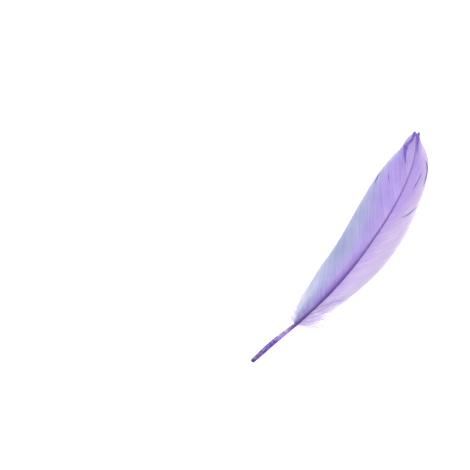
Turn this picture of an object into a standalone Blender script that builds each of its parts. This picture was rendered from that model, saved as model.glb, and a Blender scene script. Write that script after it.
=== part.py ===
"""A dyed goose feather that lies on a table with its convex side up.

It grew as one piece, so it is one solid: a shaft, which is a bare round quill at one end and a thin
ridge between the vanes at the other, a vane of locks on each side of it, curled downy tufts where
the vanes begin, and narrow laps where one lock has slid over its neighbour.

+X runs from the quill's end to the feather's tip, +Y is the side of the broader vane, and +Z is up.
The shaft, the margins and the heights are worked out in millimetres and put into the mesh in metres.
"""
import bpy
import numpy as np

MM = 0.001

# Shaft: where its middle runs, seen from above (x, y), and how high it arches (x, z).
SHAFT_PLAN = ((0, 0), (18.1, -3.9), (38.1, -9.4), (58.6, -13.6), (81.2, -16.2), (104.6, -16.7),
              (129.4, -15.4), (149.8, -11.9), (163.0, -7.4), (173.2, -0.9))
SHAFT_ARCH = ((0, 1.5), (33, 4.4), (66, 6.7), (98, 7.5), (129, 6.4), (152, 3.9), (173.2, 0.9))
# Shaft: width and depth along x, widest in the bare quill, finest at the tip.
SHAFT_SIZE = ((0, 2.6, 2.6), (4, 2.95, 2.9), (28, 3.0, 2.9), (39, 2.0, 2.3), (66, 1.55, 1.9),
              (98, 1.3, 1.5), (129, 1.05, 1.15), (152, 0.75, 0.9), (173.2, 0.6, 0.68))
SHAFT_END = 173.2
# Rings across the shaft: close together at the quill's end, then evenly along the rest.
CLOSE_RINGS = (0, 0.12, 0.35, 0.7, 1.3)
EVEN_RINGS_FROM = 3
EVEN_RINGS = 44
SHAFT_SIDES = 12
# The groove under the ridge: its depth as a share of the ridge's, from here on and over this run.
VANE_START = 33.5
UNDERSIDE_GROOVE = 0.22
GROOVE_RUN = 6
# The quill's end: rounded over this length, narrowed by this share, with a dimple this wide and deep.
QUILL_ROUNDING = 0.9
QUILL_NARROWING = 0.8
DIMPLE_WIDTH = 0.4
QUILL_DIMPLE = 0.45

# Guide barbs (x of the root, x and y of the end on the margin, bow as a share of the length).
BROAD_BARBS = ((34, 38.5, -4.4, 0.06), (38, 49.5, -1.6, 0.08), (46, 68, -0.2, 0.08), (62, 88, 0.1, 0.06),
               (80, 108, 1.9, 0.06), (100, 129.5, 4.1, 0.06), (118, 146.2, 4.5, 0.07),
               (134, 157.3, 3.2, 0.07), (142, 162.8, 2.3, 0.06), (148, 167.2, 2.6, 0.06),
               (155, 170.3, 2.4, 0.06), (163, 172.8, 1.6, 0.05), (170.5, 174.8, 1.2, 0.03))
NARROW_BARBS = ((34, 38.5, -13, 0.06), (37.5, 48, -20, 0.08), (44, 63.5, -25.5, 0.1),
                (53, 77, -28.9, 0.11), (69.5, 96.5, -32.5, 0.1), (80, 109, -32.9, 0.1),
                (92, 122, -31.9, 0.1), (110, 141, -27.5, 0.11), (122, 153.2, -23.2, 0.14),
                (130, 163.3, -17.5, 0.17), (142, 169.3, -11.7, 0.16), (152, 171.6, -7.1, 0.12),
                (163, 174, -3.4, 0.06), (171, 176.1, -1.7, 0.02))
# Height of each margin along x: both come down to the table in the far third of the vanes.
BROAD_MARGIN_HEIGHT = ((34, 4.6), (60, 4.7), (90, 3.4), (115, 1.9), (138, 0.5), (160, 0.3), (176.1, 0.35))
NARROW_MARGIN_HEIGHT = ((34, 3.0), (60, 2.2), (90, 0.9), (112, 0.35), (150, 0.3), (176.1, 0.35))
CAMBER_POWER = 1.7

# Locks: bundles of barbs, each about this wide at the shaft, with a groove and a notch between two.
LOCK_WIDTH = 4.75
LOCK_COLUMNS = 4
# How uneven the locks are in width: the swing, and the wave it follows from lock to lock on each side.
LOCK_UNEVENNESS = 0.16
UNEVEN_TURN = 2.3
UNEVEN_START = {"broad": 0.4, "narrow": 1.7}
LOCK_THICKNESS = 0.56
GROOVE_THICKNESS = 0.34
RIM_THICKNESS = 0.24
# The thickness changes to the rim's with the share of the barb to this power.
RIM_POWER = 6
# Notches between locks: the shallowest, how much deeper the deepest is, and the wave between them along x.
NOTCH_DEPTH = 0.75
NOTCH_SWING = 0.5
NOTCH_TURN = 1.9
NOTCH_FADE = 14
ROW_SHARES = (0, 0.14, 0.36, 0.6, 0.82, 1)
ROOT_INSET = 0.1

# Laps, where a lock has slid or folded over the vane: the side, then points along the lap's middle, each
# the x of a barb's root, the share of that barb and the lap's width there.
LAPS = (("narrow", ((111.7, 0.51, 0.1), (110.2, 0.65, 0.6), (109.8, 0.78, 0.5), (109.4, 0.91, 0.1))),
        ("narrow", ((130.4, 0.42, 0.1), (132.1, 0.52, 0.65), (133.5, 0.6, 0.5), (134.7, 0.68, 0.1))),
        ("narrow", ((122.5, 0.91, 0.1), (124.9, 0.945, 0.7), (127.3, 0.97, 0.75), (130.5, 0.945, 0.7),
                    (138.6, 0.86, 0.1))),
        ("broad", ((108.3, 0.88, 0.1), (110.8, 0.92, 0.95), (113.7, 0.95, 0.15))),
        ("broad", ((126.6, 0.57, 0.1), (126.1, 0.65, 0.4), (125.7, 0.74, 0.1))),
        ("broad", ((148.3, 0.38, 0.1), (148.0, 0.53, 1.1), (148.1, 0.645, 2.0), (149.1, 0.73, 2.9),
                   (150.8, 0.79, 3.7))),
        ("broad", ((147.3, 0.83, 1.1), (151.6, 0.8, 2.1), (157.3, 0.76, 2.0), (162.7, 0.74, 1.9),
                   (168.4, 0.72, 2.2), (170.6, 0.66, 3.0), (170.7, 0.94, 1.2))),
        ("narrow", ((159.1, 0.35, 0.1), (162.3, 0.33, 0.6), (166.0, 0.32, 1.1), (168.7, 0.43, 2.0),
                    (170.6, 0.5, 2.1), (171.0, 0.78, 1.8), (171.0, 0.96, 1.5))))
LAP_STEPS = 9
LAP_LEAST_WIDTH = 0.2
# How far a lap's middle lies above the vane's, and how far its ridge and keel stand from there.
LAP_RISE = 0.08
LAP_RIDGE = 0.34
LAP_KEEL = 0.12

# Downy tufts: a curve through four points (x, y, z), the first one inside the shaft, and a width.
TUFTS = (((34.6, -8.7, 4.5), (38.4, -13.6, 5.4), (44.0, -18.6, 4.2), (50.6, -21.6, 2.4), 1.1),
         ((36.6, -9.3, 4.7), (42.4, -15.4, 5.9), (50.2, -20.6, 5.4), (56.2, -25.4, 3.2), 1.2),
         ((39.4, -10.0, 5.0), (46.6, -16.0, 6.4), (55.2, -20.4, 6.2), (61.4, -27.4, 4.3), 1.2),
         ((42.6, -10.8, 5.2), (51.6, -17.0, 6.2), (60.6, -22.2, 5.6), (68.2, -29.8, 3.4), 1.3),
         ((48.0, -12.0, 5.6), (58.4, -18.6, 6.2), (66.6, -25.0, 5.0), (71.6, -31.6, 3.0), 1.1),
         ((35.0, -8.5, 4.4), (36.2, -4.6, 4.0), (39.8, -1.6, 3.8), (44.4, -0.6, 3.9), 1.0),
         ((38.4, -9.6, 4.7), (40.6, -4.4, 4.2), (45.6, -0.8, 4.0), (51.4, 1.2, 4.0), 1.1),
         ((43.0, -10.9, 5.0), (46.4, -5.0, 4.5), (52.6, -0.4, 4.2), (60.2, 1.7, 4.2), 1.1))
TUFT_STEPS = 6
TUFT_DEPTH = 0.5
# A tuft has lost this share of its width at its end, with its length to this power.
TUFT_TAPER = 0.78
TUFT_TAPER_POWER = 1.5

DYED_VIOLET = (0.47, 0.33, 0.80, 1)


def clear_scene():
    """Remove every object that the scene begins with."""
    for thing in list(bpy.data.objects):
        bpy.data.objects.remove(thing, do_unlink=True)


def smooth_through(rows):
    """Return a function of x: cubic pieces through the rows (x, values), sharing slopes where they meet."""
    table = np.array(rows, float)
    x = table[:, 0]
    values = table[:, 1:]
    slopes = np.gradient(values, x, axis=0)

    def read(at):
        at = np.clip(np.asarray(at, float), x[0], x[-1])
        piece = np.clip(np.searchsorted(x, at, side="right") - 1, 0, len(x) - 2)
        width = (x[piece + 1] - x[piece])[..., None]
        t = (at - x[piece])[..., None] / width
        start = (2 * t**3 - 3 * t**2 + 1) * values[piece] + (t**3 - 2 * t**2 + t) * width * slopes[piece]
        end = (3 * t**2 - 2 * t**3) * values[piece + 1] + (t**3 - t**2) * width * slopes[piece + 1]
        return start + end

    return read


shaft_plan = smooth_through(SHAFT_PLAN)
shaft_arch = smooth_through(SHAFT_ARCH)
shaft_size = smooth_through(SHAFT_SIZE)
SIDES = {"broad": (1, smooth_through(BROAD_BARBS), smooth_through(BROAD_MARGIN_HEIGHT)),
         "narrow": (-1, smooth_through(NARROW_BARBS), smooth_through(NARROW_MARGIN_HEIGHT))}


def barb_points(side, root_x, share):
    """Points on barbs: a bowed arc from the shaft to the margin, share 0 at the root and 1 at the end.

    The arc is a parabola through the root, a middle point pushed outwards by the bow, and the end.
    Its height falls from the shaft's arch to the margin's height with the share to CAMBER_POWER.
    """
    sign, guides, margin_height = SIDES[side]
    root_x, share = np.broadcast_arrays(np.asarray(root_x, float), np.asarray(share, float))
    root = np.stack([root_x, shaft_plan(root_x)[..., 0] + sign * ROOT_INSET], axis=-1)
    guide = guides(root_x)
    end = guide[..., :2]
    run = end - root
    outward = sign * np.stack([-run[..., 1], run[..., 0]], axis=-1)
    middle = (root + end) / 2 + outward * guide[..., 2:3]
    t = share[..., None]
    plan = (1 - t)**2 * root + 2 * t * (1 - t) * middle + t**2 * end
    arch = shaft_arch(plan[..., 0])[..., 0]
    drop = arch - margin_height(plan[..., 0])[..., 0]
    height = arch - drop * np.clip(share, 0, 1)**CAMBER_POWER
    return np.concatenate([plan, height[..., None]], axis=-1)


def solid_from(name, points, faces):
    """Make an object from points in millimetres and faces that point outwards."""
    mesh = bpy.data.meshes.new(name)
    mesh.from_pydata((np.asarray(points) * MM).tolist(), [], faces)
    mesh.validate()
    solid = bpy.data.objects.new(name, mesh)
    bpy.context.collection.objects.link(solid)
    return solid


def tube(name, rings):
    """Close a row of rings, each running anticlockwise as seen from the far end, into one solid."""
    count, sides = rings.shape[:2]
    points = list(rings.reshape(-1, 3)) + [rings[0].mean(axis=0), rings[-1].mean(axis=0)]
    faces = []
    for ring in range(count - 1):
        for side in range(sides):
            here = ring * sides + side
            beside = ring * sides + (side + 1) % sides
            faces.append((here, beside, beside + sides, here + sides))
    first, last = count * sides, count * sides + 1
    for side in range(sides):
        beside = (side + 1) % sides
        faces.append((first, beside, side))
        faces.append((last, (count - 1) * sides + side, (count - 1) * sides + beside))
    return solid_from(name, points, faces)


def make_shaft():
    """The quill and the ridge: oval rings across the shaft's middle line, grooved below the vanes."""
    x = np.concatenate([CLOSE_RINGS, np.linspace(EVEN_RINGS_FROM, SHAFT_END, EVEN_RINGS)])
    middle = np.stack([x, shaft_plan(x)[:, 0], shaft_arch(x)[:, 0]], axis=-1)
    along = np.gradient(middle, x, axis=0)
    along /= np.linalg.norm(along, axis=1, keepdims=True)
    sideways = np.cross((0, 0, 1), along)
    sideways /= np.linalg.norm(sideways, axis=1, keepdims=True)
    upright = np.cross(along, sideways)
    size = shaft_size(x) / 2
    # The quill's end is rounded: a quarter circle over the first stretch of its length.
    rounding = np.clip(1 - x / QUILL_ROUNDING, 0, 1)
    size *= np.sqrt(1 - QUILL_NARROWING * rounding**2)[:, None]
    angle = np.arange(SHAFT_SIDES) * 2 * np.pi / SHAFT_SIDES
    across = np.cos(angle)[None, :, None] * size[:, :1, None] * sideways[:, None, :]
    below = np.clip((x - VANE_START) / GROOVE_RUN, 0, 1) * UNDERSIDE_GROOVE
    sag = np.where(np.isclose(np.sin(angle), -1)[None, :], 1 - below[:, None], 1)
    up = (np.sin(angle)[None, :] * sag)[..., None] * size[:, 1:2, None] * upright[:, None, :]
    rings = middle[:, None, :] + across + up
    dimple = DIMPLE_WIDTH * rings[:1] + (1 - DIMPLE_WIDTH) * middle[:1, None, :] + along[0] * QUILL_DIMPLE
    return tube("feather", np.concatenate([dimple, rings]))


def lock_columns(side):
    """Root positions of a vane's columns, and how full the lock is at each: 0 in a groove, 1 mid-lock."""
    guides = BROAD_BARBS if side == "broad" else NARROW_BARBS
    start, end = guides[0][0], guides[-1][0]
    locks = round((end - start) / LOCK_WIDTH)
    step = np.arange(locks * LOCK_COLUMNS + 1) / LOCK_COLUMNS
    uneven = LOCK_UNEVENNESS * np.sin(UNEVEN_TURN * np.floor(step) + UNEVEN_START[side])
    uneven *= np.sin(np.pi * (step % 1))
    root_x = start + (end - start) * (step + uneven) / locks
    return root_x, np.sin(np.pi * (step % 1))


def make_vane(side):
    """One vane: a thin closed sheet on a grid, thicker along each lock and notched between two."""
    sign = SIDES[side][0]
    root_x, full = lock_columns(side)
    depth = NOTCH_DEPTH + NOTCH_SWING * np.sin(NOTCH_TURN * root_x)**2
    # Barbs crowd together at both ends of the vane, so the notches fade out there.
    depth *= np.clip(np.minimum(root_x - root_x[0], root_x[-1] - root_x) / NOTCH_FADE, 0, 1)
    ends = barb_points(side, root_x, 1) - barb_points(side, root_x, 0)
    reach = 1 - (1 - full) * depth / np.linalg.norm(ends, axis=1)
    share = reach[:, None] * np.array(ROW_SHARES)[None, :]
    middle = barb_points(side, root_x[:, None], share)
    thickness = GROOVE_THICKNESS + (LOCK_THICKNESS - GROOVE_THICKNESS) * full[:, None]
    thickness = thickness + (RIM_THICKNESS - thickness) * np.array(ROW_SHARES)[None, :]**RIM_POWER
    half = np.zeros_like(middle)
    half[..., 2] = thickness / 2
    columns, rows = middle.shape[:2]
    points = np.concatenate([(middle + half).reshape(-1, 3), (middle - half).reshape(-1, 3)])
    below = columns * rows
    faces = []
    for column in range(columns - 1):
        for row in range(rows - 1):
            a = column * rows + row
            b = a + rows
            faces.append((a, b, b + 1, a + 1))
            faces.append((a + 1 + below, b + 1 + below, b + below, a + below))
        a = column * rows
        faces.append((a + below, a + rows + below, a + rows, a))
        a += rows - 1
        faces.append((a, a + rows, a + rows + below, a + below))
    for row in range(rows - 1):
        faces.append((row, row + 1, row + 1 + below, row + below))
        a = (columns - 1) * rows + row
        faces.append((a + below, a + 1 + below, a + 1, a))
    if sign < 0:
        faces = [face[::-1] for face in faces]
    return solid_from(side + "_vane", points, faces)


def ribbon(name, middle, widths, depth_up, depth_down):
    """A tapered strip of lozenge section along a row of points, flat side towards the table."""
    along = np.gradient(middle, axis=0)
    sideways = np.cross((0, 0, 1), along)
    sideways /= np.linalg.norm(sideways, axis=1, keepdims=True)
    left = middle + sideways * widths[:, None] / 2
    right = middle - sideways * widths[:, None] / 2
    taper = (widths / widths.max())[:, None] * np.array((0, 0, 1))
    rings = np.stack([left, middle + taper * depth_up, right, middle - taper * depth_down], axis=1)
    return tube(name, rings)


def make_laps():
    """Narrow strips on the vanes where a lock has slid or folded over the next, most of them wedges."""
    for number, (side, rows) in enumerate(LAPS):
        line = smooth_through(np.column_stack([np.linspace(0, 1, len(rows)), rows]))
        root_x, share, widths = line(np.linspace(0, 1, LAP_STEPS)).T
        path = barb_points(side, root_x, share)
        path[:, 2] += LAP_RISE
        yield ribbon("lap_" + str(number), path, np.maximum(widths, LAP_LEAST_WIDTH), LAP_RIDGE, LAP_KEEL)


def make_tufts():
    """Curled strips of down beside the quill, each a smooth curve that thins to its end."""
    for number, tuft in enumerate(TUFTS):
        knots = np.array(tuft[:4], float)
        curve = smooth_through(np.column_stack([np.arange(4), knots]))
        t = np.linspace(0, 3, TUFT_STEPS + 1)
        path = curve(t)
        widths = tuft[4] * (1 - TUFT_TAPER * (t / 3)**TUFT_TAPER_POWER)
        yield ribbon("tuft_" + str(number), path, widths, TUFT_DEPTH / 2, TUFT_DEPTH / 2)


def fuse(body, grown):
    """Join what grew from the shaft to it, one union over all of it."""
    bundle = bpy.data.collections.new("grown_from_the_shaft")
    bpy.context.scene.collection.children.link(bundle)
    for piece in grown:
        bpy.context.collection.objects.unlink(piece)
        bundle.objects.link(piece)
        piece.hide_render = True
        piece.display_type = "WIRE"
    union = body.modifiers.new("Grown together", "BOOLEAN")
    union.operation = "UNION"
    union.operand_type = "COLLECTION"
    union.collection = bundle
    union.solver = "EXACT"


def keratin(name, colour, roughness):
    """A plain Principled material in one colour."""
    material = bpy.data.materials.new(name)
    material.use_nodes = True
    shader = material.node_tree.nodes["Principled BSDF"]
    shader.inputs["Base Color"].default_value = colour
    shader.inputs["Roughness"].default_value = roughness
    shader.inputs["Metallic"].default_value = 0
    return material


def stand_over_origin(pieces):
    """Move the pieces together so that the middle of their box's underside is the origin."""
    points = np.array([corner for piece in pieces for corner in piece.bound_box])
    low, high = points.min(axis=0), points.max(axis=0)
    for piece in pieces:
        piece.location = (-(low[0] + high[0]) / 2, -(low[1] + high[1]) / 2, -low[2])


def main():
    """Build the feather."""
    clear_scene()
    feather = make_shaft()
    feather.data.shade_smooth()
    grown = [make_vane("broad"), make_vane("narrow"), *make_laps(), *make_tufts()]
    stand_over_origin([feather, *grown])
    fuse(feather, grown)
    feather.data.materials.append(keratin("Dyed keratin", DYED_VIOLET, 0.55))


main()
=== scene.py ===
"""A dyed goose feather that lies on a light table with its convex side up.

The scene keeps the frame's millimetre layout: +X runs from the quill's end to the feather's tip,
+Y is the side of the broader vane, and +Z is up. Every barb, barbule and the shaft is a mesh.
"""
import math

import bpy
import numpy as np
from bpy.props import FloatProperty, FloatVectorProperty, IntProperty, PointerProperty
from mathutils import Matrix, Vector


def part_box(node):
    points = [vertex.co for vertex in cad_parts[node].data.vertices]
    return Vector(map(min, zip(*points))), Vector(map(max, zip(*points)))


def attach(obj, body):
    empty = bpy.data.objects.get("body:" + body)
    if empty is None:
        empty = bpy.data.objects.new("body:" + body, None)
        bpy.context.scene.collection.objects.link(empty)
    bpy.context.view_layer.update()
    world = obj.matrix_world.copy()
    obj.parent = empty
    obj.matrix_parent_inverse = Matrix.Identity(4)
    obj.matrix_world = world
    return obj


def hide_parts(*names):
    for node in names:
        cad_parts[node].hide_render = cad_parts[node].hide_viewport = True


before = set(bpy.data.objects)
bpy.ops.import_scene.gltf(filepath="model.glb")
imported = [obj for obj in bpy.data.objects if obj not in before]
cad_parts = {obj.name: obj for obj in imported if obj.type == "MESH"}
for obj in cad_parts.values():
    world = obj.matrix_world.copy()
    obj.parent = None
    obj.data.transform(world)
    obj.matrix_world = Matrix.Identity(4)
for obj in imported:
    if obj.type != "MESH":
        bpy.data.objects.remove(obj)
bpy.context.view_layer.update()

bl_info = {"name": "Goose feather", "version": (1, 0, 0), "blender": (4, 5, 0),
           "location": "View3D > Sidebar > Feather",
           "description": "Builds a dyed goose feather barb by barb", "category": "Add Mesh"}

FEATHER_LOW, FEATHER_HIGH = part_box("feather")
MM = 0.001
UP = (0, 0, 1)
# About a full turn, in radians, for waves that start anywhere.
TURN = 6.3
WHITE = (1.0, 1.0, 1.0)
BLACK = (0.0, 0.0, 0.0)

# Shaft: where its middle runs, seen from above (x, y), how high it arches (x, z), width and depth.
SHAFT_PLAN = ((0, 0), (18.1, -3.9), (38.1, -9.4), (58.6, -13.6), (81.2, -16.2), (104.6, -16.7),
              (129.4, -15.4), (149.8, -11.9), (163.0, -7.4), (173.2, -0.9))
SHAFT_ARCH = ((0, 1.5), (33, 4.4), (66, 6.7), (98, 7.5), (129, 6.4), (152, 3.9), (173.2, 0.9))
SHAFT_SIZE = ((0, 2.6, 2.6), (4, 2.95, 2.9), (28, 3.0, 2.9), (39, 1.9, 2.3), (66, 1.5, 1.9),
              (98, 1.25, 1.5), (129, 1.0, 1.15), (152, 0.66, 0.9), (173.2, 0.3, 0.4))
SHAFT_END = 173.2
SHAFT_SIDES = 24
EVEN_RINGS_FROM = 2.4
EVEN_RINGS = 170
CLOSING_RINGS = 6
# The quill's end, from the small pit in it outwards: (x, share of the full width).
QUILL_END = ((0.95, 0.06), (0.8, 0.2), (0.3, 0.3), (0.05, 0.4), (-0.02, 0.52), (0.05, 0.7),
             (0.2, 0.85), (0.48, 0.95), (0.9, 1.0), (1.6, 1.0))
# Groove under the ridge: its share of the ridge's depth, how far it spreads round the ridge to each side,
# in radians, and the mm over which it starts.
GROOVE_DEPTH = 0.24
GROOVE_SPREAD = 0.5
GROOVE_RUN = 12

VANE_START = 34.0
VANE_END = 171.0
VANE_LENGTH = VANE_END - VANE_START

# Guide barbs (x of the root, x and y of the end on the margin, bow as a share of the length).
BROAD_BARBS = ((34, 38.5, -4.4, 0.06), (38, 49.5, -1.6, 0.08), (46, 68, -0.2, 0.08), (62, 88, 0.1, 0.06),
               (80, 108, 1.9, 0.06), (100, 129.5, 4.1, 0.06), (118, 146.2, 4.5, 0.07),
               (134, 157.3, 3.2, 0.07), (142, 162.8, 2.3, 0.06), (148, 167.2, 2.6, 0.06),
               (155, 170.3, 2.4, 0.06), (163, 172.8, 1.6, 0.05), (170.5, 174.8, 1.2, 0.03))
NARROW_BARBS = ((34, 38.5, -13, 0.06), (37.5, 48, -20, 0.08), (44, 63.5, -25.5, 0.1),
                (53, 77, -28.9, 0.11), (69.5, 96.5, -32.5, 0.1), (80, 109, -32.9, 0.1),
                (92, 122, -31.9, 0.1), (110, 141, -27.5, 0.11), (122, 153.2, -23.2, 0.14),
                (130, 163.3, -17.5, 0.17), (142, 169.3, -11.7, 0.16), (152, 171.6, -7.1, 0.12),
                (163, 174, -3.4, 0.06), (171, 176.1, -1.7, 0.02))
BROAD_MARGIN_HEIGHT = ((34, 4.6), (60, 4.7), (90, 3.4), (115, 1.9), (138, 0.5), (160, 0.3), (176.1, 0.35))
NARROW_MARGIN_HEIGHT = ((34, 3.0), (60, 2.2), (90, 0.9), (112, 0.35), (150, 0.3), (176.1, 0.35))
CAMBER_POWER = 1.7
BARB_POINTS = 22

# How each vane's barbs grow. "roots" are the x of the first and the last root. Up to "loose_until" barbs
# come loose: one misses up to the share "shorter" of its length, strays by "stray" mm and loses the share
# "narrower" of its width. A firm barb thins from the share "thin_from" of its length on, to "end_width" of
# its width, and between the roots "tip" the values for the tip take over. "pale" is what the tint loses
# between the PALE_ROOTS, and "edge" the share by which barbs reach past the folded margin.
HABITS = {"broad": {"roots": (33.7, 170.7), "loose_until": 46, "shorter": 0.1, "stray": 0.3,
                    "narrower": 0.12, "thin_from": 0.84, "end_width": 0.4, "tip": (135, 155),
                    "pale": 0.22, "edge": 0},
          "narrow": {"roots": (33.7, 171.2), "loose_until": 56, "shorter": 0.4, "stray": 0.8,
                     "narrower": 0.72, "thin_from": 0.78, "end_width": 0.3, "tip": (114, 128),
                     "pale": 0.08, "edge": 0.04}}
TIP_THIN_FROM = 0.93
TIP_END_WIDTH = 0.75
PALE_ROOTS = (143, 158)
# The root whose barb ends in the middle of the folded margin, and how far to each side the fold goes.
FOLDED_MARGIN = 128
FOLD_SPREAD = 7
# A barb's least and most half width and its ridge's height, in mm, and its tilt by its half width.
BARB_HALF_WIDTHS = (0.04, 0.4)
BARB_RIDGE = 0.05
BARB_TILT = 0.22
LEAST_HEIGHT = 0.2

# Laps, where a lock has slid or folded over the vane: the side, then points along the lap's middle, each
# the x of a barb's root, the share of that barb and the lap's width there.
LAPS = (("narrow", ((111.7, 0.51, 0.1), (110.2, 0.65, 0.6), (109.8, 0.78, 0.5), (109.4, 0.91, 0.1))),
        ("narrow", ((130.4, 0.42, 0.1), (132.1, 0.52, 0.65), (133.5, 0.6, 0.5), (134.7, 0.68, 0.1))),
        ("narrow", ((122.5, 0.91, 0.1), (124.9, 0.945, 0.7), (127.3, 0.97, 0.75), (130.5, 0.945, 0.7),
                    (138.6, 0.86, 0.1))),
        ("broad", ((108.3, 0.88, 0.1), (110.8, 0.92, 0.95), (113.7, 0.95, 0.15))),
        ("broad", ((126.6, 0.57, 0.1), (126.1, 0.65, 0.4), (125.7, 0.74, 0.1))),
        ("broad", ((148.3, 0.38, 0.1), (148.0, 0.53, 1.1), (148.1, 0.645, 2.0), (149.1, 0.73, 2.9),
                   (150.8, 0.79, 3.7))),
        ("broad", ((147.3, 0.83, 1.1), (151.6, 0.8, 2.1), (157.3, 0.76, 2.0), (162.7, 0.74, 1.9),
                   (168.4, 0.72, 2.2), (170.6, 0.66, 3.0), (170.7, 1.0, 1.2))),
        ("narrow", ((159.1, 0.35, 0.1), (162.3, 0.33, 0.6), (166.0, 0.32, 1.1), (168.7, 0.43, 2.0),
                    (170.6, 0.5, 2.1), (171.0, 0.78, 1.8), (171.0, 1.0, 1.5))))
LAP_POINTS = 20
# A lap's least width, its height over the barbs, how much higher its middle stands and its strips' ridges,
# in mm, and their tilt by their half width.
LAP_LEAST_WIDTH = 0.08
LAP_RISE = 0.14
LAP_CROWN = 0.1
LAP_RIDGE = 0.04
LAP_TILT = 0.3

# Downy tufts: a curve through these points (x, y, z), the first one inside the shaft.
TUFTS = (((34.6, -8.7, 4.5), (38.4, -13.6, 5.4), (44.0, -18.6, 4.2), (50.6, -21.6, 2.4)),
         ((36.6, -9.3, 4.7), (42.4, -15.4, 5.9), (50.2, -20.6, 5.4), (56.2, -25.4, 3.2)),
         ((39.4, -10.0, 5.0), (46.6, -16.0, 6.4), (55.2, -20.4, 6.2), (61.4, -27.4, 4.3)),
         ((42.6, -10.8, 5.2), (51.6, -17.0, 6.2), (60.6, -22.2, 5.6), (68.2, -29.8, 3.4)),
         ((48.0, -12.0, 5.6), (58.4, -18.6, 6.2), (66.6, -25.0, 5.0), (71.6, -31.6, 3.0)),
         ((35.0, -8.5, 4.4), (36.2, -4.6, 4.0), (39.8, -1.6, 3.8), (44.4, -0.6, 3.9)),
         ((38.4, -9.6, 4.7), (40.6, -4.4, 4.2), (45.6, -0.8, 4.0), (51.4, 1.2, 4.0)),
         ((43.0, -10.9, 5.0), (46.4, -5.0, 4.5), (52.6, -0.4, 4.2), (60.2, 1.7, 4.2)))
# The share of the threads that the tufts hold; the rest grow on their own.
IN_TUFTS = 0.6
THREAD_POINTS = 24
THREAD_HALF_WIDTH = 0.08
THREAD_RIDGE = 0.03
BOLD_EVERY = 7
BARBULES = 56
BARBULE_HALF_WIDTH = 0.04
BARBULE_RIDGE = 0.01
# The space that the down stays in: from and to in y, then in z.
THREAD_SPACE = ((-32.0, 3.8), (0.4, 7.8))
BARBULE_SPACE = ((-32.4, 4.1), (0.25, 8.1))

# Sizes behind the materials' patterns, in mm: a streak of dye and the fluff of barbules, both along the
# vane, a patch of weaker dye, a mark of the pith in the quill, and the table's grain.
STREAK = 0.9133
FLUFF = 0.403
DYE_PATCH = 12.5
PITH_MARK = 1.429
TABLE_GRAIN = 33.3
# The Mix node's sockets for colours, by number, because its other kinds share their names.
FACTOR, FIRST, SECOND, MIXED = 0, 6, 7, 2

# Photograph: its side and the feather's two ends in its pixels, and how far a pixel is.
PHOTO_SIDE = 470
QUILL_PIXEL = (251.7, 361.5)
TIP_PIXEL = (415.9, 132.6)
MM_PER_PIXEL = 0.62025
# Stage, in metres: the camera's height and half the table's side.
CAMERA_HEIGHT = 1.5
TABLE_REACH = 3.0


def hex_colour(text):
    """Turn an sRGB hex value such as "#b4aee6" into linear red, green, blue and alpha."""
    parts = np.array([int(text[i:i + 2], 16) for i in (1, 3, 5)]) / 255
    linear = np.where(parts <= 0.04045, parts / 12.92, ((parts + 0.055) / 1.055)**2.4)
    return (*linear.tolist(), 1.0)


def hex_stops(*rows):
    """A ramp's stops from rows of (place, sRGB hex value)."""
    return [(place, hex_colour(text)) for place, text in rows]


def mixed_stops(*rows):
    """A ramp's stops from rows of (place, first colour, second colour, share of the second)."""
    stops = []
    for place, first, second, share in rows:
        mixed = [a + (b - a) * share for a, b in zip(first, second)]
        stops.append((place, (*mixed, 1.0)))
    return stops


def smooth_through(rows):
    """Return a function of x: cubic pieces through the rows (x, values), sharing slopes where they meet."""
    table = np.array(rows, float)
    x = table[:, 0]
    values = table[:, 1:]
    slopes = np.gradient(values, x, axis=0)

    def read(at):
        at = np.clip(np.asarray(at, float), x[0], x[-1])
        piece = np.clip(np.searchsorted(x, at, side="right") - 1, 0, len(x) - 2)
        width = (x[piece + 1] - x[piece])[..., None]
        t = (at - x[piece])[..., None] / width
        start = (2 * t**3 - 3 * t**2 + 1) * values[piece] + (t**3 - 2 * t**2 + t) * width * slopes[piece]
        end = (3 * t**2 - 2 * t**3) * values[piece + 1] + (t**3 - t**2) * width * slopes[piece + 1]
        return start + end

    return read


def smooth_along(rows):
    """The same for rows of values alone, which stand at even steps from 0 to 1."""
    return smooth_through([(i / (len(rows) - 1), *row) for i, row in enumerate(rows)])


def smooth_step(low, high, at):
    """0 up to low, 1 from high on, and 3t^2 - 2t^3 between them."""
    t = np.clip((np.asarray(at, float) - low) / (high - low), 0, 1)
    return t * t * (3 - 2 * t)


def unit(vectors):
    """Bring every vector along the last axis to length 1; one without length stays as it is."""
    return vectors / np.maximum(np.linalg.norm(vectors, axis=-1, keepdims=True), 1e-9)


shaft_plan = smooth_through(SHAFT_PLAN)
shaft_arch = smooth_through(SHAFT_ARCH)
shaft_size = smooth_through(SHAFT_SIZE)
SIDES = {"broad": (1, smooth_through(BROAD_BARBS), smooth_through(BROAD_MARGIN_HEIGHT)),
         "narrow": (-1, smooth_through(NARROW_BARBS), smooth_through(NARROW_MARGIN_HEIGHT))}


def shaft_line(x):
    """Points on the shaft's middle line: x, the plan's y and the arch's height."""
    return np.stack([x, shaft_plan(x)[..., 0], shaft_arch(x)[..., 0]], axis=-1)


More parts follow.
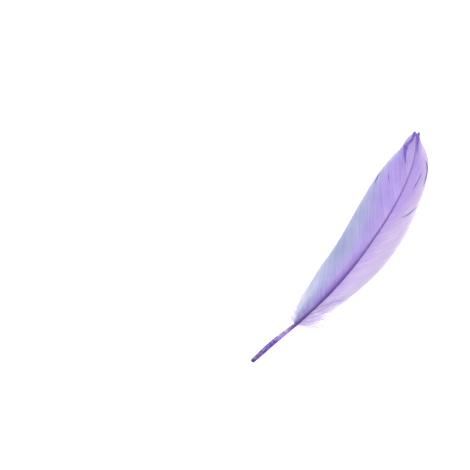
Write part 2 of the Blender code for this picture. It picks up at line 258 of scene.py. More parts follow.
def barb_points(side, root_x, share):
    """Points on barbs: a bowed arc from the shaft to the margin, share 0 at the root and 1 at the end.

    The arc is a parabola through the root, a middle point pushed outwards by the bow, and the end.
    Its height falls from the shaft's arch to the margin's height with the share to CAMBER_POWER.
    """
    sign, guides, margin_height = SIDES[side]
    root_x, share = np.broadcast_arrays(np.asarray(root_x, float), np.asarray(share, float))
    root = np.stack([root_x, shaft_plan(root_x)[..., 0]], axis=-1)
    guide = guides(root_x)
    end = guide[..., :2]
    run = end - root
    outward = sign * np.stack([-run[..., 1], run[..., 0]], axis=-1)
    middle = (root + end) / 2 + outward * guide[..., 2:3]
    t = share[..., None]
    plan = (1 - t)**2 * root + 2 * t * (1 - t) * middle + t**2 * end
    arch = shaft_arch(plan[..., 0])[..., 0]
    drop = arch - margin_height(plan[..., 0])[..., 0]
    height = arch - drop * np.clip(share, 0, 1)**CAMBER_POWER
    return np.concatenate([plan, height[..., None]], axis=-1)


def vane_share(x):
    """How far along the vane an x lies, from 0 to 1."""
    return (x - VANE_START) / VANE_LENGTH


def frame_shift():
    """How far the layout in millimetres moves to lie where the frame's feather lies."""
    margin = barb_points("narrow", np.linspace(VANE_START, VANE_END, 400), 1)
    low = np.array(FEATHER_LOW) / MM
    high = np.array(FEATHER_HIGH) / MM
    crest_x, crest = max(SHAFT_ARCH, key=lambda row: row[1])
    top = crest + shaft_size(crest_x)[1] / 2
    return np.array([high[0] - margin[:, 0].max(), low[1] - margin[:, 1].min(), min(0, high[2] - top)])


SHIFT = frame_shift()


def new_object(name, points, faces, u, v, tint, material):
    """Make a piece: points in layout millimetres, quads or loops of corners, and a UV map and a tint."""
    mesh = bpy.data.meshes.new(name)
    mesh.vertices.add(len(points))
    mesh.vertices.foreach_set("co", ((points + SHIFT) * MM).astype(np.float32).ravel())
    corners = np.concatenate([np.asarray(block).ravel() for block in faces]).astype(np.int32)
    sizes = np.concatenate([np.full(len(block), np.shape(block)[1]) for block in faces])
    mesh.loops.add(len(corners))
    mesh.loops.foreach_set("vertex_index", corners)
    mesh.polygons.add(len(sizes))
    mesh.polygons.foreach_set("loop_start", (np.cumsum(sizes) - sizes).astype(np.int32))
    mesh.update(calc_edges=True)
    mesh.validate()
    layer = mesh.uv_layers.new(name="strand")
    order = np.empty(len(mesh.loops), np.int32)
    mesh.loops.foreach_get("vertex_index", order)
    layer.data.foreach_set("uv", np.stack([u[order], v[order]], axis=-1).astype(np.float32).ravel())
    shade = mesh.attributes.new("tint", "FLOAT", "POINT")
    shade.data.foreach_set("value", tint.astype(np.float32))
    mesh.shade_smooth()
    mesh.materials.append(material)
    piece = bpy.data.objects.new(name, mesh)
    bpy.context.scene.collection.objects.link(piece)
    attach(piece, "root")
    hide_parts("feather")
    return piece


def ribbons(path, half_width, rise, tilt):
    """Thin ribbons along many paths at once, each with an edge, a ridge and an edge at every point.

    path is (ribbons, points, 3); the rest broadcast to (ribbons, points). The edges lie half_width to
    each side of the path, the ridge lies rise above it, and tilt lifts the left edge and lowers the
    right one, so that neighbours lap like roof tiles. Faces look up.
    """
    count, steps = path.shape[:2]
    along = unit(np.gradient(path, axis=1))
    side = unit(np.cross(UP, along))
    up = np.cross(along, side)
    half_width, rise, tilt = (np.broadcast_to(size, (count, steps))[..., None]
                              for size in (half_width, rise, tilt))
    edge = side * half_width + up * tilt
    rows = np.stack([path + edge, path + up * rise, path - edge], axis=2)
    first = (np.arange(count)[:, None] * steps + np.arange(steps - 1)[None, :]).ravel() * 3
    quads = [np.stack([first + k, first + k + 1, first + k + 4, first + k + 3], axis=1)
             for k in range(2)]
    return rows.reshape(-1, 3), quads


def per_row(values, count, steps):
    """Spread values for each ribbon and point over the three points of each row."""
    return np.repeat(np.broadcast_to(values, (count, steps)).ravel(), 3)


def add(tree, kind, values=None, links=None, stops=None, **settings):
    """Add one node: its settings, its sockets' values, its links and, on a ramp, its colour stops."""
    node = tree.nodes.new(kind)
    for name, value in settings.items():
        setattr(node, name, value)
    for socket, value in (values or {}).items():
        node.inputs[socket].default_value = value
    for socket, source in (links or {}).items():
        tree.links.new(source, node.inputs[socket])
    if stops:
        ramp = node.color_ramp
        while len(ramp.elements) < len(stops):
            ramp.elements.new(0.5)
        for element, (position, colour) in zip(ramp.elements, stops):
            element.position = position
            element.color = colour
    return node


def new_material(name):
    """A material whose node tree holds only its output."""
    material = bpy.data.materials.new(name)
    material.use_nodes = True
    tree = material.node_tree
    tree.nodes.clear()
    output = add(tree, "ShaderNodeOutputMaterial")
    return material, tree, output


def dyed_barbs(name, base, lower, upper, turn, see_through):
    """Dyed feather barbs, keratin that grew as hooked threads: soft, matt, and lit through by the table.

    base, lower and upper are the colours from shaft to margin beside the quill, in the middle and at the
    tip, and turn says between which shares of the vane's length the last takes over, a little sooner at
    the shaft. The dye takes unevenly: in streaks 1 to 2 mm wide along the barbs, finer and stronger from
    barb to barb (the tint), and in weak patches about 12 mm wide.
    """
    material, tree, output = new_material(name)
    uv = add(tree, "ShaderNodeUVMap", uv_map="strand")
    split = add(tree, "ShaderNodeSeparateXYZ", links={"Vector": uv.outputs[0]})
    ramps = [add(tree, "ShaderNodeValToRGB", links={"Fac": split.outputs["Y"]}, stops=stops)
             for stops in (base, lower, upper)]
    low = add(tree, "ShaderNodeMapRange", values={"From Min": 0.02, "From Max": 0.24},
              links={"Value": split.outputs["X"]}, interpolation_type="SMOOTHSTEP")
    slanted = add(tree, "ShaderNodeMath", operation="MULTIPLY_ADD", values={1: -0.2},
                  links={0: split.outputs["Y"], 2: split.outputs["X"]})
    high = add(tree, "ShaderNodeMapRange", values={"From Min": turn[0], "From Max": turn[1]},
               links={"Value": slanted.outputs[0]}, interpolation_type="SMOOTHSTEP")
    near = add(tree, "ShaderNodeMix", data_type="RGBA",
               links={FACTOR: low.outputs[0], FIRST: ramps[0].outputs[0], SECOND: ramps[1].outputs[0]})
    dye = add(tree, "ShaderNodeMix", data_type="RGBA",
              links={FACTOR: high.outputs[0], FIRST: near.outputs[MIXED], SECOND: ramps[2].outputs[0]})
    # A streak is four tenths of its barb long.
    grid = add(tree, "ShaderNodeMapping", values={"Scale": (VANE_LENGTH / STREAK, 2.4, 1)},
               links={"Vector": uv.outputs[0]})
    streaks = add(tree, "ShaderNodeTexNoise", values={"Scale": 1.0, "Detail": 3.0, "Roughness": 0.65},
                  links={"Vector": grid.outputs[0]})
    place = add(tree, "ShaderNodeTexCoord")
    patches = add(tree, "ShaderNodeTexNoise", values={"Scale": 1 / (DYE_PATCH * MM), "Detail": 2.0},
                  links={"Vector": place.outputs["Object"]})
    tint = add(tree, "ShaderNodeAttribute", attribute_name="tint")
    wide = add(tree, "ShaderNodeMath", operation="MULTIPLY_ADD", values={1: 0.5},
               links={0: patches.outputs["Fac"], 2: tint.outputs["Fac"]})
    both = add(tree, "ShaderNodeMath", operation="ADD",
               links={0: streaks.outputs["Fac"], 1: wide.outputs[0]})
    depth = add(tree, "ShaderNodeMapRange", links={"Value": both.outputs[0]},
                values={"From Min": 0.35, "From Max": 1.15, "To Min": 0.68, "To Max": 1.34})
    power = add(tree, "ShaderNodeGamma", links={"Color": dye.outputs[MIXED], "Gamma": depth.outputs[0]})
    # Along a barb of 25 mm the fluff is as fine as across it.
    ridges = add(tree, "ShaderNodeMapping", values={"Scale": (VANE_LENGTH / FLUFF, 60, 1)},
                 links={"Vector": uv.outputs[0]})
    fluff = add(tree, "ShaderNodeTexNoise", values={"Scale": 1.0, "Detail": 2.0},
                links={"Vector": ridges.outputs[0]})
    bump = add(tree, "ShaderNodeBump", values={"Strength": 0.35, "Distance": 0.1 * MM},
               links={"Height": fluff.outputs["Fac"]})
    matt = add(tree, "ShaderNodeBsdfPrincipled",
               values={"Roughness": 0.62, "IOR": 1.54, "Specular IOR Level": 0.3, "Sheen Weight": 0.15,
                       "Sheen Roughness": 0.45},
               links={"Base Color": power.outputs[0], "Normal": bump.outputs[0]})
    through = add(tree, "ShaderNodeBsdfTranslucent",
                  links={"Color": power.outputs[0], "Normal": bump.outputs[0]})
    mixed = add(tree, "ShaderNodeMixShader", values={"Fac": see_through},
                links={1: matt.outputs[0], 2: through.outputs[0]})
    tree.links.new(mixed.outputs[0], output.inputs["Surface"])
    return material


def broad_barbs(dye, see_through):
    """The broad vane: strong violet beside the shaft, bluish in its lower half, violet towards the tip."""
    base = mixed_stops((0, dye.deep, WHITE, 0.2), (0.1, dye.deep, WHITE, 0.25),
                       (0.25, dye.deep, dye.cool, 0.75), (0.5, dye.cool, WHITE, 0.42),
                       (1, dye.cool, WHITE, 0.45))
    lower = mixed_stops((0, dye.deep, WHITE, 0), (0.07, dye.deep, dye.upper, 0.55),
                        (0.2, dye.upper, dye.cool, 0.35), (0.4, dye.cool, dye.upper, 0.15),
                        (1, dye.cool, WHITE, 0.1))
    upper = mixed_stops((0, dye.upper, WHITE, 0.14), (0.35, dye.upper, dye.cool, 0.2),
                        (0.7, dye.upper, dye.cool, 0.15), (1, dye.upper, dye.cool, 0.6))
    return dyed_barbs("Dyed barbs, broad vane", base, lower, upper, (0.25, 0.6), see_through)


def narrow_barbs(dye, see_through):
    """The narrow vane: pale and pinkish in its lower half, a flush of violet towards the tip."""
    base = mixed_stops((0, dye.warm, dye.upper, 0.1), (0.12, dye.warm, dye.cool, 0.15),
                       (0.35, dye.cool, WHITE, 0.6), (1, dye.warm, WHITE, 0.4))
    lower = mixed_stops((0, dye.upper, dye.warm, 0.3), (0.35, dye.warm, dye.upper, 0.1),
                        (0.8, dye.warm, WHITE, 0.1), (1, dye.warm, WHITE, 0.3))
    upper = mixed_stops((0, dye.flush, WHITE, 0.15), (0.5, dye.flush, WHITE, 0.08),
                        (0.8, dye.flush, dye.warm, 0.5), (1, dye.flush, dye.warm, 0.8))
    return dyed_barbs("Dyed barbs, narrow vane", base, lower, upper, (0.4, 0.78), see_through)


def lapped_barbs(dye):
    """Locks over the vane: twice the barbs, so twice the dye and less light through them."""
    stops = mixed_stops((0, dye.folded, dye.upper, 0.3), (0.4, dye.folded, dye.deep, 0),
                        (1, dye.folded, dye.deep, 0.3))
    return dyed_barbs("Dyed barbs, lapped", stops, stops, stops, (0, 1), 0.45)


def downy_barbs(dye):
    """Down: threads, in the ramp's lower half, are pale violet, and barbules, in its upper half, paler."""
    stops = mixed_stops((0, dye.upper, dye.warm, 0.6), (0.4, dye.upper, dye.warm, 0.4),
                        (0.5, dye.warm, WHITE, 0.2), (1, dye.warm, WHITE, 0.6))
    return dyed_barbs("Dyed down", stops, stops, stops, (0, 1), 0.6)


def dyed_quill(name):
    """Dyed keratin tube, grown smooth and then dipped: satin, a little see-through, mottled by its pith.

    The dye is darkest at the cut end. Shade is painted round the tube, over its top and down the narrow
    vane's side, and left off the broad vane's side.
    """
    material, tree, output = new_material(name)
    uv = add(tree, "ShaderNodeUVMap", uv_map="strand")
    split = add(tree, "ShaderNodeSeparateXYZ", links={"Vector": uv.outputs[0]})
    along = add(tree, "ShaderNodeValToRGB", links={"Fac": split.outputs["X"]},
                stops=hex_stops((0, "#50367e"), (0.012, "#7656a6"), (0.06, "#8462be"), (0.105, "#7c54ba"),
                                (0.13, "#aa94dc"), (0.155, "#bca6de"), (0.188, "#8466b4"),
                                (0.36, "#7e62ac"), (0.52, "#8c70b6"), (0.8, "#a286ce"), (1, "#b498e0")))
    place = add(tree, "ShaderNodeTexCoord")
    marks = add(tree, "ShaderNodeTexNoise", links={"Vector": place.outputs["Object"]},
                values={"Scale": 1 / (PITH_MARK * MM), "Detail": 4.0, "Roughness": 0.65})
    mottle = add(tree, "ShaderNodeMapRange", links={"Value": marks.outputs["Fac"]},
                 values={"From Min": 0.37, "From Max": 0.63, "To Min": 0.45, "To Max": 1.75})
    # Pith fills the tube alone: the ridge between the vanes is solid and takes the dye evenly.
    solid = add(tree, "ShaderNodeMapRange", links={"Value": split.outputs["X"]},
                values={"From Min": 0.18, "From Max": 0.22, "To Min": 0.0, "To Max": 0.8})
    even = add(tree, "ShaderNodeMix", data_type="FLOAT", values={"B": 1.05},
               links={"Factor": solid.outputs[0], "A": mottle.outputs[0]})
    pith = add(tree, "ShaderNodeGamma", links={"Color": along.outputs[0], "Gamma": even.outputs[0]})
    # The UV map's second value runs round the shaft: 0 on the broad vane's side, 0.5 on the narrow's.
    # Painted shade: this ramp darkens the tube over its top and down the narrow vane's side, and leaves the
    # broad vane's side, which faces the softbox, white.
    painted_side_shade = add(tree, "ShaderNodeValToRGB", links={"Fac": split.outputs["Y"]},
                 stops=hex_stops((0, "#ffffff"), (0.15, "#ffffff"), (0.23, "#b49cc8"), (0.36, "#b49cc8"),
                                 (0.46, "#d0c0e4"), (0.6, "#b8a4d0"), (0.8, "#ffffff")))
    # The painted shade is strongest where the lower vanes hold the shaft, and fades towards the tip and
    # down the quill.
    painted_shade_reach = add(tree, "ShaderNodeValToRGB", links={"Fac": split.outputs["X"]},
               stops=mixed_stops((0, BLACK, WHITE, 0.6), (0.16, BLACK, WHITE, 0.4), (0.2, BLACK, WHITE, 1),
                                 (0.35, BLACK, WHITE, 0.9), (0.7, BLACK, WHITE, 0.4)))
    # The painted shade is multiplied into the pith-mottled dye.
    colour = add(tree, "ShaderNodeMix", data_type="RGBA", blend_type="MULTIPLY",
                 links={FACTOR: painted_shade_reach.outputs[0], FIRST: pith.outputs[0], SECOND: painted_side_shade.outputs[0]})
    bump = add(tree, "ShaderNodeBump", values={"Strength": 0.25, "Distance": 0.1 * MM},
               links={"Height": marks.outputs["Fac"]})
    satin = add(tree, "ShaderNodeBsdfPrincipled",
                values={"Roughness": 0.34, "IOR": 1.54, "Coat Weight": 0.15, "Coat Roughness": 0.2},
                links={"Base Color": colour.outputs[MIXED], "Normal": bump.outputs[0]})
    through = add(tree, "ShaderNodeBsdfTranslucent", links={"Color": colour.outputs[MIXED]})
    mixed = add(tree, "ShaderNodeMixShader", values={"Fac": 0.3},
                links={1: satin.outputs[0], 2: through.outputs[0]})
    tree.links.new(mixed.outputs[0], output.inputs["Surface"])
    return material


def opal_table(name, colour, glow):
    """Opal acrylic, cast sheet of a light table: white, matt, lit a little from below."""
    material, tree, output = new_material(name)
    place = add(tree, "ShaderNodeTexCoord")
    grain = add(tree, "ShaderNodeTexNoise", values={"Scale": 1 / (TABLE_GRAIN * MM), "Detail": 2.0},
                links={"Vector": place.outputs["Object"]})
    tone = add(tree, "ShaderNodeValToRGB", links={"Fac": grain.outputs["Fac"]},
               stops=mixed_stops((0, BLACK, colour, 0.99), (1, BLACK, colour, 1)))
    sheet = add(tree, "ShaderNodeBsdfPrincipled",
                values={"Roughness": 0.6, "IOR": 1.49, "Specular IOR Level": 0.2,
                        "Emission Color": (1, 1, 1, 1), "Emission Strength": glow},
                links={"Base Color": tone.outputs[0]})
    tree.links.new(sheet.outputs[0], output.inputs["Surface"])
    return material


def clump_up(count, chance):
    """Clumps of 2 to 6 barbs: each barb's clump, its place in it from -1 to 1, and the clump's size."""
    sizes = chance.integers(2, 7, count)
    ends = np.cumsum(sizes)
    clump = np.searchsorted(ends, np.arange(count), side="right")
    first = (ends - sizes)[clump]
    place = 2 * (np.arange(count) - first + 0.5) / sizes[clump] - 1
    return clump, place[:, None], sizes[clump][:, None]


def vane_barbs(side, count, half_width, seed):
    """One vane's barbs: paths, half widths, tints, the roots' x and each point's share of the whole barb.

    Each path is barb_points with small shifts across the barb: barbs stand in clumps that slide over or
    away from the next clump, draw together towards the margin, wave a little, and come loose near the
    quill. The half width tapers towards the margin, so that the table shows between the barbs' ends.
    """
    habit = HABITS[side]
    chance = np.random.default_rng(seed)
    clump, place, size = clump_up(count, chance)

    def by_clump():
        return chance.random(clump.max() + 1)[clump][:, None]

    def by_barb():
        return chance.random((count, 1))

    root_x = np.linspace(*habit["roots"], count)[:, None]
    # Points stand a little closer together towards the margin.
    share = np.linspace(0, 1, BARB_POINTS)[None, :]**0.9
    loose = 1 - smooth_step(VANE_START + 1, habit["loose_until"], root_x)
    tip = smooth_step(*habit["tip"], root_x)
    reach = 1 - 0.008 * by_clump() - 0.012 * by_barb()
    reach = reach - habit["shorter"] * loose * by_barb()
    # Beyond the folded margin a pale edge of barbs stands out by less than a millimetre.
    reach = reach + habit["edge"] * np.exp(-((root_x - FOLDED_MARGIN) / FOLD_SPREAD)**2)
    t = share * reach
    path = barb_points(side, root_x, t)
    gap = np.linalg.norm(np.gradient(path[..., :2], axis=0), axis=2)
    along = np.gradient(path, axis=1)
    along[..., 2] = 0
    across = np.cross(UP, unit(along)) * -SIDES[side][0]

    # A clump's barbs draw together by up to a tenth, and it slides by up to 0.3 of the gap between barbs.
    draw = (0.02 + 0.08 * by_clump()) * t**2.5
    shift = -draw * place * size / 2 * gap * 0.9
    slide = 0.6 * (by_clump() - 0.5) * smooth_step(0.03, 0.3, t)
    turns = 1 + 2 * by_clump()
    phase = TURN * by_clump()
    shift = shift + slide * gap * (0.55 + 0.45 * np.sin(turns * TURN * t + phase))
    # Clumps wave by 0.05 mm, and single barbs by 0.035 mm and by what a loose one strays.
    wave = np.sin(t * 9 + by_clump() * TURN) * 0.05
    fray = np.sin(t * (5 + 9 * by_barb()) + TURN * by_barb())
    stray = habit["stray"] * loose * t**1.3
    shift = shift + wave * t + fray * (0.035 * t**2 + stray)
    path = path + across * shift[..., None]
    # Across a clump the barbs rise by 0.05 mm each way, and clumps and loose barbs lift on their own.
    lift = 0.05 * place * t + 0.08 * (by_clump() - 0.5) * t
    lift = lift + loose * t * (0.5 * (by_barb() - 0.3))
    path[..., 2] = np.maximum(path[..., 2] + lift, LEAST_HEIGHT)

    thin_from = habit["thin_from"] * (1 - tip) + TIP_THIN_FROM * tip
    end_width = habit["end_width"] * (1 - tip) + TIP_END_WIDTH * tip
    taper = 1 - (1 - end_width) * smooth_step(thin_from, 1.02, share)
    taper = taper * (1 - habit["narrower"] * loose * smooth_step(0.05, 0.5, t))
    wide = np.clip(gap * half_width, *BARB_HALF_WIDTHS) * taper
    tint = 0.16 * (by_barb() - 0.5) + 0.2 * (by_clump() - 0.5)
    # Towards the tip the barbs crowd, and each one holds less dye.
    tint = tint - habit["pale"] * smooth_step(*PALE_ROOTS, root_x)
    return path, wide, tint, root_x, t


def make_vane(name, side, count, half_width, seed, material):
    """One vane: a ribbon for each barb, lapping the next like roof tiles."""
    path, wide, tint, root_x, t = vane_barbs(side, count, half_width, seed)
    points, faces = ribbons(path, wide, BARB_RIDGE, wide * BARB_TILT)
    return new_object(name, points, faces, per_row(vane_share(root_x), count, BARB_POINTS),
                      per_row(t, count, BARB_POINTS), per_row(tint, count, BARB_POINTS), material)


def make_shaft(material):
    """The quill and the ridge between the vanes, swept as oval rings along the shaft's middle line.

    Each ring is (cos a * width / 2, sin a * depth / 2), pinched below by a groove that starts with the
    vanes. The quill's end is turned in to a small pit.
    """
    end_x, end_share = np.transpose(QUILL_END)
    x = np.concatenate([end_x, np.linspace(EVEN_RINGS_FROM, SHAFT_END, EVEN_RINGS)])
    share = np.concatenate([end_share, np.ones(EVEN_RINGS)])
    share[-CLOSING_RINGS:] = np.sqrt(np.linspace(1, 0.03, CLOSING_RINGS))
    even = np.linspace(0, SHAFT_END, 400)
    slopes = np.gradient(shaft_line(even), even, axis=0)
    along = unit(np.stack([np.interp(x, even, slopes[:, k]) for k in range(3)], axis=-1))
    sideways = unit(np.cross(UP, along))
    upright = np.cross(along, sideways)
    angle = np.arange(SHAFT_SIDES) * 2 * np.pi / SHAFT_SIDES
    size = shaft_size(x) / 2 * share[:, None]
    below = GROOVE_DEPTH * smooth_step(VANE_START, VANE_START + GROOVE_RUN, x)[:, None]
    groove = 1 - below * np.exp(-((angle[None, :] - 1.5 * np.pi) / GROOVE_SPREAD)**2)
    across = (np.cos(angle)[None, :] * size[:, :1])[..., None] * sideways[:, None, :]
    up = (np.sin(angle)[None, :] * groove * size[:, 1:2])[..., None] * upright[:, None, :]
    rings = shaft_line(x)[:, None, :] + across + up
    corner = np.arange(SHAFT_SIDES)[None, :]
    ring = np.arange(len(x) - 1)[:, None] * SHAFT_SIDES
    first = (ring + corner).ravel()
    beside = (ring + (corner + 1) % SHAFT_SIDES).ravel()
    quads = np.stack([first, beside, beside + SHAFT_SIDES, first + SHAFT_SIDES], axis=1)
    end_cap = (len(x) - 1) * SHAFT_SIDES + corner
    u = np.repeat(x / SHAFT_END, SHAFT_SIDES)
    v = np.tile(angle / (2 * np.pi), len(x))
    return new_object("shaft", rings.reshape(-1, 3), [quads, corner[:, ::-1], end_cap], u, v,
                      np.zeros(len(u)), material)


def make_laps(material):
    """Locks of barbs that have slid or folded over the vane: strips side by side along each lap.

    A lap's middle follows the barbs' surface through its points, at barb_points(root, share) for a root
    and a share that change smoothly along it. Its strips lie across its width, a little above the vane.
    """
    chance = np.random.default_rng(5)
    t = np.linspace(0, 1, LAP_POINTS)
    paths, halves, tints = [], [], []
    for side, rows in LAPS:
        root_x, share, width = smooth_along(rows)(t).T
        # Four strips, and four more for each millimetre of the lap's width.
        strands = int(4 + 4 * max(row[2] for row in rows))
        middle = barb_points(side, root_x, share)
        across = unit(np.cross(UP, np.gradient(middle, axis=0)))
        spread = np.linspace(-0.5, 0.5, strands)[:, None] * (1 - 1 / strands)
        width = np.maximum(width, LAP_LEAST_WIDTH)[None, :]
        path = middle[None] + across[None] * (spread * width)[..., None]
        path[..., 2] += LAP_RISE + LAP_CROWN * np.cos(np.pi * spread) + 0.03 * chance.random((strands, 1))
        paths.append(path)
        halves.append(np.repeat(np.clip(0.62 * width / strands, 0.015, 0.3), strands, axis=0))
        tints.append(0.25 * (chance.random((strands, 1)) - 0.5))
    path = np.concatenate(paths)
    half = np.concatenate(halves)
    points, faces = ribbons(path, half, LAP_RIDGE, half * LAP_TILT)
    u, v, tint = (per_row(values, len(path), LAP_POINTS)
                  for values in (vane_share(path[..., 0]), t, np.concatenate(tints)))
    return new_object("lapped_locks", points, faces, u, v, tint, material)


def tuft_threads(tuft, count, t, chance):
    """Threads that follow one tuft's curve and spread from it with the length to the power 1.4.

    Some hook aside with its cube, and all wave a little.
    """
    path = smooth_along(tuft)((0.65 + 0.37 * chance.random((count, 1))) * t)
    across = unit(np.cross(UP, np.gradient(path, axis=1)))
    spread = 5.0 * (chance.random((count, 1)) - 0.5) * t**1.4
    hook = 8.0 * (chance.random((count, 1)) - 0.5) * t**3
    wave = 0.3 * np.sin(t * (6 + 7 * chance.random((count, 1))) + TURN * chance.random((count, 1)))
    path = path + across * (spread + hook + wave * t)[..., None]
    # The broad side's tufts lie under its vane, so that only their ends show beyond the margin.
    under = 0.8 if tuft[-1][1] > tuft[0][1] else 0.0
    path[..., 2] += (1.3 * (chance.random((count, 1)) - 0.6) - under) * t
    return path


def free_threads(count, t, chance):
    """Threads on their own, three in five of them on the narrow side.

    Each leaves the shaft at an angle and turns by one that grows with the length to the power 1.6. It
    sinks with its length to the power 1.5, and on the broad side it dips under the vane.
    """
    def each():
        return chance.random((count, 1))

    narrow = (np.arange(count) % 5 < 3)[:, None]
    root_x = VANE_START - 0.8 + 16 * each()**1.2
    length = np.where(narrow, 10 + 14 * each(), 7 + 7 * each())
    heading = np.radians(np.where(narrow, 46 + 40 * each(), 40 + 36 * each()))
    curl = np.radians(30 - 110 * each())
    slope = (shaft_plan(root_x + 0.5) - shaft_plan(root_x - 0.5))[..., 0]
    wobble = 0.35 * np.sin(t * (4 + 9 * each()) + TURN * each())
    turn = heading + curl * t**1.6 + wobble * t
    angle = np.arctan(slope) + np.where(narrow, -1.0, 1.0) * turn
    step = length / (THREAD_POINTS - 1)
    rise = (each() - 0.35) * np.where(narrow, 2.0, 0.4)
    under = np.where(narrow, 0.0, 1.5) * np.sin(np.pi * np.clip(t, 0, 0.5))
    path = np.repeat(shaft_line(root_x), THREAD_POINTS, axis=1)
    path[..., 0] += np.cumsum(np.cos(angle), axis=1) * step
    path[..., 1] += np.cumsum(np.sin(angle), axis=1) * step
    path[..., 2] += rise * np.sin(np.pi * t * 0.8) - 1.8 * (t * length / 20)**1.5 - under
    return path


def keep_within(points, space):
    """Hold the points' y and z inside the space, in place."""
    for axis, (low, high) in zip((1, 2), space):
        points[..., axis] = np.clip(points[..., axis], low, high)


def barbules(threads, chance):
    """Short bent ribbons that stand out from their threads at 45 to 60 degrees, left and right in turn.

    Each is three points: its root on the thread, root + out * size / 2, and root + (out + bend) * size,
    where out is the thread's direction * lean + its side + a little of up, brought to length 1.
    """
    count, steps = threads.shape[:2]
    place = np.linspace(0.04, 0.99, BARBULES)
    low = np.floor(place * (steps - 1)).astype(int).clip(0, steps - 2)
    part = (place * (steps - 1) - low)[None, :, None]
    root = threads[:, low] * (1 - part) + threads[:, low + 1] * part
    along = unit(threads[:, low + 1] - threads[:, low])
    side = unit(np.cross(UP, along))

    def each():
        return chance.random((count, BARBULES, 1))

    # They are longest at a third of the thread, and 0.6 as long at its end.
    size = (0.9 + 1.5 * each()) * (1 - 0.5 * place[None, :, None])
    size = size * (0.25 + 0.75 * smooth_step(0.05, 0.3, place))[None, :, None]
    lean = 0.55 + 0.5 * each()
    up = np.array(UP) * (each() - 0.4) * 0.7
    turn = np.where(np.arange(BARBULES) % 2 == 0, 1.0, -1.0)[None, :, None]
    out = unit(along * lean + side * turn + up)
    bend = along * (each() - 0.2) * 0.35
    path = np.stack([root, root + out * size * 0.5, root + (out + bend) * size], axis=2)
    return path.reshape(-1, 3, 3), np.tile(place, count)[:, None]


def make_down(count, material):
    """Downy barbs beside the quill: curling threads, each with two rows of fine barbules."""
    chance = np.random.default_rng(11)
    t = np.linspace(0, 1, THREAD_POINTS)[None, :]
    a_tuft = int(IN_TUFTS * count / len(TUFTS))
    groups = [tuft_threads(tuft, a_tuft, t, chance) for tuft in TUFTS]
    groups.append(free_threads(count - a_tuft * len(TUFTS), t, chance))
    path = np.concatenate(groups)
    keep_within(path, THREAD_SPACE)
    # A bold thread is wider, lies above the rest and is dyed darker.
    bold = (np.arange(count) % BOLD_EVERY == 3)[:, None] * 1.0
    path[..., 2] += 0.5 * bold * np.sin(np.pi * t)
    half_width = THREAD_HALF_WIDTH * (1 - 0.6 * t) * (1 + 1.3 * bold)
    points, faces = ribbons(path, half_width, THREAD_RIDGE, 0)
    fine, place = barbules(path, chance)
    keep_within(fine, BARBULE_SPACE)
    half_width = BARBULE_HALF_WIDTH * np.array([[1, 0.8, 0.3]])
    fine_points, fine_faces = ribbons(fine, half_width, BARBULE_RIDGE, 0)
    faces = [*faces, *(block + len(points) for block in fine_faces)]
    # Threads read the lower part of the material's ramp, and barbules its upper half.
    v = np.concatenate([per_row(0.35 * t, count, THREAD_POINTS),
                        per_row(0.5 + 0.5 * place, *fine.shape[:2])])
    tint = np.concatenate([per_row(0.1 + 1.1 * bold, count, THREAD_POINTS),
                           np.full(len(fine_points), -0.1)])
    points = np.concatenate([points, fine_points])
    return new_object("down", points, faces, vane_share(points[:, 0]), v, tint, material)


class FeatherSizes(bpy.types.PropertyGroup):
    """Sizes and counts of the feather's fine parts."""

    barbs: IntProperty(name="Barbs a side", description="Barbs in each vane", default=420,
                       min=60, max=600)
    barb_lap: FloatProperty(name="Barb width", description="Half width of a barb as a share of the spacing",
                            default=0.62, subtype="FACTOR", min=0.3, max=1.0)
    down_threads: IntProperty(name="Down threads", description="Downy barbs beside the quill",
                              default=120, min=20, max=200)
    see_through: FloatProperty(name="See-through", description="Share of light that passes a barb",
                               default=0.55, subtype="FACTOR", min=0, max=1)


class FeatherColours(bpy.types.PropertyGroup):
    """Colours of the dye and of the table."""

    deep: FloatVectorProperty(name="Deep", description="Dye beside the shaft, in the lower half",
                              subtype="COLOR", default=hex_colour("#8e6cc4")[:3], size=3, min=0, max=1)
    cool: FloatVectorProperty(name="Cool", description="Dye of the broad vane's lower half",
                              subtype="COLOR", default=hex_colour("#c2c7e0")[:3], size=3, min=0, max=1)
    warm: FloatVectorProperty(name="Warm", description="Dye of the narrow vane's lower half",
                              subtype="COLOR", default=hex_colour("#e4daee")[:3], size=3, min=0, max=1)
    upper: FloatVectorProperty(name="Upper", description="Dye of both vanes towards the tip",
                               subtype="COLOR", default=hex_colour("#c8b1e7")[:3], size=3, min=0, max=1)
    flush: FloatVectorProperty(name="Flush", description="Dye of the narrow vane beside the tip",
                               subtype="COLOR", default=hex_colour("#ceb5ee")[:3], size=3, min=0, max=1)
    folded: FloatVectorProperty(name="Folded", description="Dye of the locks folded over the vane",
                                subtype="COLOR", default=hex_colour("#9c7fd6")[:3], size=3, min=0, max=1)
    table: FloatVectorProperty(name="Table", description="Colour of the light table", subtype="COLOR",
                               default=hex_colour("#f6f6f6")[:3], size=3, min=0, max=1)
    lamp: FloatVectorProperty(name="Lamp", description="Colour of the studio light", subtype="COLOR",
                              default=(1, 1, 1), size=3, min=0, max=1)
    table_glow: FloatProperty(name="Table glow", description="Light from below the table", default=0.55,
                              min=0, max=2)


class FEATHER_OT_shaft(bpy.types.Operator):
    """Build the quill and the shaft"""

    bl_idname = "feather.shaft"
    bl_label = "Shaft"

    def execute(self, context):
        piece = make_shaft(dyed_quill("Dyed keratin quill"))
        return {"FINISHED"}


class FEATHER_OT_vanes(bpy.types.Operator):
    """Build the barbs of both vanes and the locks lapped over them"""

    bl_idname = "feather.vanes"
    bl_label = "Vanes"

    def execute(self, context):
        sizes = context.scene.feather_sizes
        dye = context.scene.feather_colours
        broad = broad_barbs(dye, sizes.see_through)
        narrow = narrow_barbs(dye, sizes.see_through)
        make_vane("broad_vane", "broad", sizes.barbs, sizes.barb_lap, 3, broad)
        make_vane("narrow_vane", "narrow", sizes.barbs, sizes.barb_lap, 7, narrow)
        make_laps(lapped_barbs(dye))
        return {"FINISHED"}


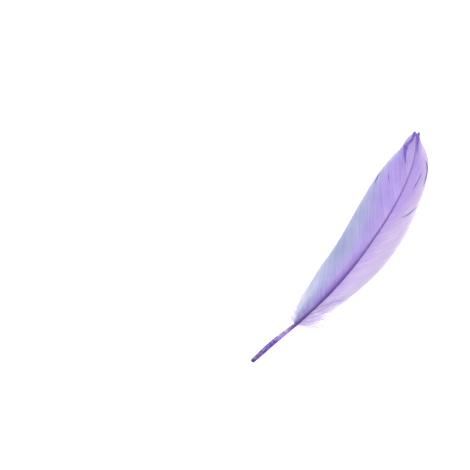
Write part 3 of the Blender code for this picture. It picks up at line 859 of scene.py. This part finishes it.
class FEATHER_OT_down(bpy.types.Operator):
    """Build the downy threads beside the quill"""

    bl_idname = "feather.down"
    bl_label = "Down"

    def execute(self, context):
        material = downy_barbs(context.scene.feather_colours)
        make_down(context.scene.feather_sizes.down_threads, material)
        return {"FINISHED"}


class FEATHER_OT_stage(bpy.types.Operator):
    """Set up the light table, the studio light and the camera"""

    bl_idname = "feather.stage"
    bl_label = "Stage"

    def execute(self, context):
        colours = context.scene.feather_colours
        scene = context.scene
        mesh = bpy.data.meshes.new("table")
        corners = [(x * TABLE_REACH, y * TABLE_REACH, 0) for x, y in ((-1, -1), (1, -1), (1, 1), (-1, 1))]
        mesh.from_pydata(corners, [], [(0, 1, 2, 3)])
        mesh.materials.append(opal_table("Opal acrylic table", colours.table, colours.table_glow))
        table = bpy.data.objects.new("table", mesh)
        scene.collection.objects.link(table)
        world = bpy.data.worlds.new("Studio")
        world.use_nodes = True
        sky = world.node_tree.nodes["Background"]
        sky.inputs["Color"].default_value = (1, 1, 1, 1)
        sky.inputs["Strength"].default_value = 1.0
        scene.world = world
        lamp = bpy.data.lights.new("softbox", "AREA")
        lamp.shape = "RECTANGLE"
        lamp.size = 0.9
        lamp.size_y = 0.7
        lamp.energy = 6.0
        lamp.color = colours.lamp
        softbox = bpy.data.objects.new("softbox", lamp)
        softbox.location = (-0.45, 0.55, 0.75)
        softbox.rotation_euler = (math.radians(-36), math.radians(-30), 0)
        scene.collection.objects.link(softbox)
        scene.camera = self.photo_camera(scene)
        scene.view_settings.view_transform = "Standard"
        return {"FINISHED"}

    def photo_camera(self, scene):
        """A long lens straight above, turned and placed so that both ends land on their pixels."""
        run = np.array(TIP_PIXEL) - np.array(QUILL_PIXEL)
        chord = math.atan2(-run[1], run[0])
        middle = (PHOTO_SIDE / 2 - QUILL_PIXEL[0], QUILL_PIXEL[1] - PHOTO_SIDE / 2)
        x = (middle[0] * math.cos(chord) + middle[1] * math.sin(chord)) * MM_PER_PIXEL
        y = (-middle[0] * math.sin(chord) + middle[1] * math.cos(chord)) * MM_PER_PIXEL
        data = bpy.data.cameras.new("photo")
        data.sensor_width = 36
        data.lens = data.sensor_width * CAMERA_HEIGHT / (PHOTO_SIDE * MM_PER_PIXEL * MM)
        data.clip_start = 0.01
        camera = bpy.data.objects.new("photo", data)
        camera.location = ((x + SHIFT[0]) * MM, (y + SHIFT[1]) * MM, CAMERA_HEIGHT)
        camera.rotation_euler = (0, 0, -chord)
        scene.collection.objects.link(camera)
        return camera


class FEATHER_PT_panel(bpy.types.Panel):
    """The feather's sizes, colours and pieces"""

    bl_idname = "FEATHER_PT_panel"
    bl_label = "Goose feather"
    bl_space_type = "VIEW_3D"
    bl_region_type = "UI"
    bl_category = "Feather"

    def draw(self, context):
        for group in (context.scene.feather_sizes, context.scene.feather_colours):
            for name in group.bl_rna.properties.keys():
                if name not in ("rna_type", "name"):
                    self.layout.prop(group, name)
        for operator in OPERATORS:
            self.layout.operator(operator.bl_idname)


OPERATORS = (FEATHER_OT_shaft, FEATHER_OT_vanes, FEATHER_OT_down, FEATHER_OT_stage)
CLASSES = (FeatherSizes, FeatherColours, *OPERATORS, FEATHER_PT_panel)


def register():
    """Register the classes and the scene's settings."""
    for kind in CLASSES:
        bpy.utils.register_class(kind)
    bpy.types.Scene.feather_sizes = PointerProperty(type=FeatherSizes)
    bpy.types.Scene.feather_colours = PointerProperty(type=FeatherColours)


def unregister():
    """Take the settings and the classes away again."""
    del bpy.types.Scene.feather_colours
    del bpy.types.Scene.feather_sizes
    for kind in reversed(CLASSES):
        bpy.utils.unregister_class(kind)


def main():
    """Build every piece."""
    register()
    bpy.ops.feather.shaft()
    bpy.ops.feather.vanes()
    bpy.ops.feather.down()
    bpy.ops.feather.stage()


if __name__ == "__main__":
    main()
